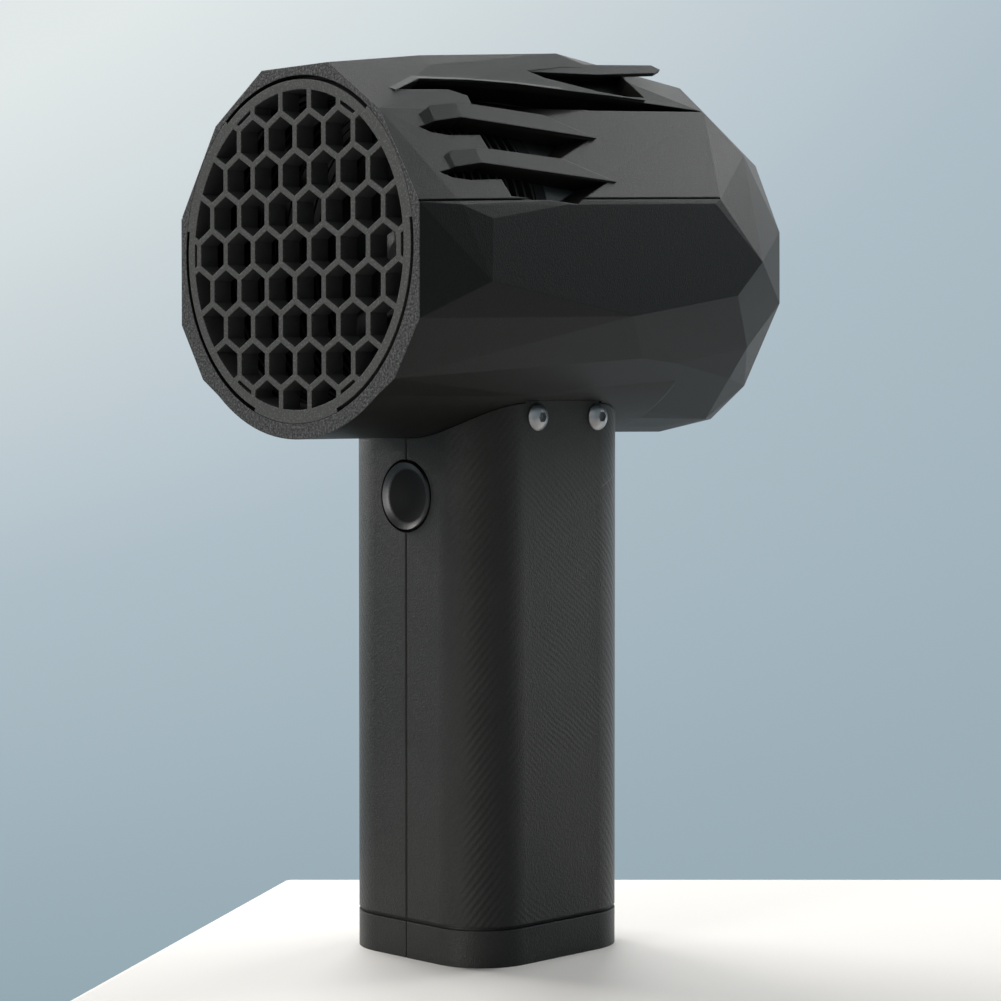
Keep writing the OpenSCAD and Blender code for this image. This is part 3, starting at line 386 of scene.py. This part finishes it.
def ring_band(bm, y0, y1, r0, r1, turns=96):
    """A closed flat ring round the barrel's axis."""
    loops = []
    for i in range(turns):
        a = 2 * math.pi * i / turns
        loops.append([bm.verts.new((r * math.cos(a), y, AXIS_Z + r * math.sin(a)))
                      for y, r in ((y0, r0), (y1, r0), (y1, r1), (y0, r1))])
    for i in range(turns):
        here, there = loops[i], loops[(i + 1) % turns]
        for k in range(4):
            bm.faces.new((here[k], here[(k + 1) % 4], there[(k + 1) % 4], there[k]))


def louvre():
    """Thin blades round the bore between the grille and the fan, a dark piece put in as painted shade:
    they hide the gills' open insides so that the grille's cells look black.
    """
    bm = bmesh.new()
    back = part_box("bellmouth_ring")[0][1]
    y = LOUVRE_FRONT
    while y < back - BLADE_T:
        ring_band(bm, y, y + BLADE_T, LOUVRE_R - BLADE_DEPTH, LOUVRE_R)
        y += BLADE_PITCH
    for angle in (0, 90, 180, 270):
        a = math.radians(angle)
        radial = Vector((math.cos(a), 0, math.sin(a)))
        tangent = Vector((-math.sin(a), 0, math.cos(a)))
        outline = ((RIB_IN, -RIB_HALF), (RIB_IN, RIB_HALF), (RIB_OUT, RIB_HALF), (RIB_OUT, -RIB_HALF))
        corners = [
            bm.verts.new(Vector((0, v, AXIS_Z)) + radial * (LOUVRE_R - r) + tangent * t)
            for v in (LOUVRE_FRONT, back) for r, t in outline]
        for f in BOX_FACES:
            bm.faces.new([corners[k] for k in f])
    bmesh.ops.recalc_face_normals(bm, faces=bm.faces)
    mesh = bpy.data.meshes.new("gill_shade_louvre")
    bm.to_mesh(mesh)
    bm.free()
    mesh.materials.append(matt_black)
    made = bpy.data.objects.new("gill_shade_louvre", mesh)
    bpy.context.scene.collection.objects.link(made)
    return made


# painted shade: black blades that darken what shows through the grille's cells
shade_piece = louvre()
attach(shade_piece, "housing")


# ---------- stage ----------

# the table's corner and edges, as the photograph shows them
CORNER = Vector((-90.3, 18.5, 0)) * MM
BACK_EDGE = Vector((0.706, 0.708, 0))
LEFT_EDGE = Vector((0.521, -0.853, 0))
TABLE_LEFT, TABLE_BACK, TABLE_T = 1.6, 1.8, 0.04

table_mesh = bpy.data.meshes.new("table")
top = [CORNER, CORNER + LEFT_EDGE * TABLE_LEFT, CORNER + LEFT_EDGE * TABLE_LEFT + BACK_EDGE * TABLE_BACK,
       CORNER + BACK_EDGE * TABLE_BACK]
low = [p - Vector((0, 0, TABLE_T)) for p in top]
table_mesh.from_pydata([*top, *low], [], BOX_FACES)
table = bpy.data.objects.new("table", table_mesh)
bpy.context.scene.collection.objects.link(table)
m, g = new_material("table_white")
g.finish(g.ramp(g.noise(g.place(), 0.2, 1.0), [(0.3, (0.86, 0.85, 0.83)), (0.7, (0.9, 0.89, 0.87))]), 0.6)
table_mesh.materials.append(m)
edge = table.modifiers.new("edge", "BEVEL")
edge.width = 2.5 * MM
edge.segments = 4

world = bpy.data.worlds.new("studio")
bpy.context.scene.world = world
world.use_nodes = True
g = Graph(world.node_tree)
way = g.node("ShaderNodeTexCoord").outputs["Generated"]
across = g.vector("DOT_PRODUCT", way, (0.706, 0.708, 0.0))
upward = g.vector("DOT_PRODUCT", way, (-0.021, 0.021, 1.0))
# the backdrop grows lighter upwards and to the left
LEVEL, UPWARD_GAIN, ACROSS_GAIN, CORNER_GAIN = 0.46, 1.98, -0.82, -4.2
tone = g.add(g.times(upward, UPWARD_GAIN), g.times(across, ACROSS_GAIN))
tone = g.add(tone, g.times(g.times(upward, across), CORNER_GAIN))
tone = g.add(tone, LEVEL, clamp=True)
sky = g.ramp(tone, [(0.0, (0.27, 0.37, 0.42)), (0.5, (0.43, 0.52, 0.58)), (1.0, (0.76, 0.81, 0.81))])
# it shows to the camera and in gloss and glass; as a light it is faint
rays = g.node("ShaderNodeLightPath").outputs
shown = g.add(rays["Is Camera Ray"], rays["Is Glossy Ray"])
shown = g.add(shown, rays["Is Transmission Ray"])
shown = g.add(shown, g.times(rays["Is Diffuse Ray"], 0.05), clamp=True)
drop = g.node("ShaderNodeBackground", {"Color": sky, "Strength": shown})
g.node("ShaderNodeOutputWorld", {"Surface": drop.outputs[0]})


def softbox(name, place_mm, aim_mm, size, power, colour=(1, 1, 1)):
    lamp = bpy.data.lights.new(name, "AREA")
    lamp.shape = "RECTANGLE"
    lamp.size, lamp.size_y = size
    lamp.energy = power
    lamp.color = colour
    o = bpy.data.objects.new(name, lamp)
    o.location = Vector(place_mm) * MM
    o.rotation_mode = "QUATERNION"
    o.rotation_quaternion = (Vector(aim_mm) * MM - o.location).to_track_quat("-Z", "Y")
    o.visible_camera = False
    bpy.context.scene.collection.objects.link(o)


MIDDLE = (0, 0, 110)
KEY_WHITE = (1.0, 0.965, 0.93)
SOFT_WHITE = (1.0, 0.99, 0.975)
SQUARE = (0.6, 0.6)
STRIP = (0.3, 0.6)
softbox("key_left", (-900, 0, 740), MIDDLE, SQUARE, 9.3, KEY_WHITE)
softbox("high_left", (-515, 0, 1080), MIDDLE, SQUARE, 0.9, SOFT_WHITE)
softbox("rear_left", (-690, 580, 740), MIDDLE, SQUARE, 4.6, SOFT_WHITE)
softbox("rear_high", (80, 900, 740), MIDDLE, SQUARE, 5.3, SOFT_WHITE)
softbox("rear_right", (310, 850, 740), MIDDLE, SQUARE, 1.6, SOFT_WHITE)
softbox("front_left", (-20, -1090, 187), MIDDLE, STRIP, 7.5, SOFT_WHITE)
softbox("rear_low", (-190, 1080, 187), MIDDLE, SQUARE, 0.7, SOFT_WHITE)
# light that the table sends up beside the object: name, x, y in mm, side in metres, watts
for name, x, y, side, power in (
        ("table_rear", 0, 300, 0.35, 0.15), ("table_left", -300, 0, 0.35, 0.09),
        ("table_right", 212, 212, 0.35, 0.08), ("table_far", -130, 740, 0.6, 0.6)):
    softbox(name, (x, y, 4), (x, y, 400), (side, side), power)
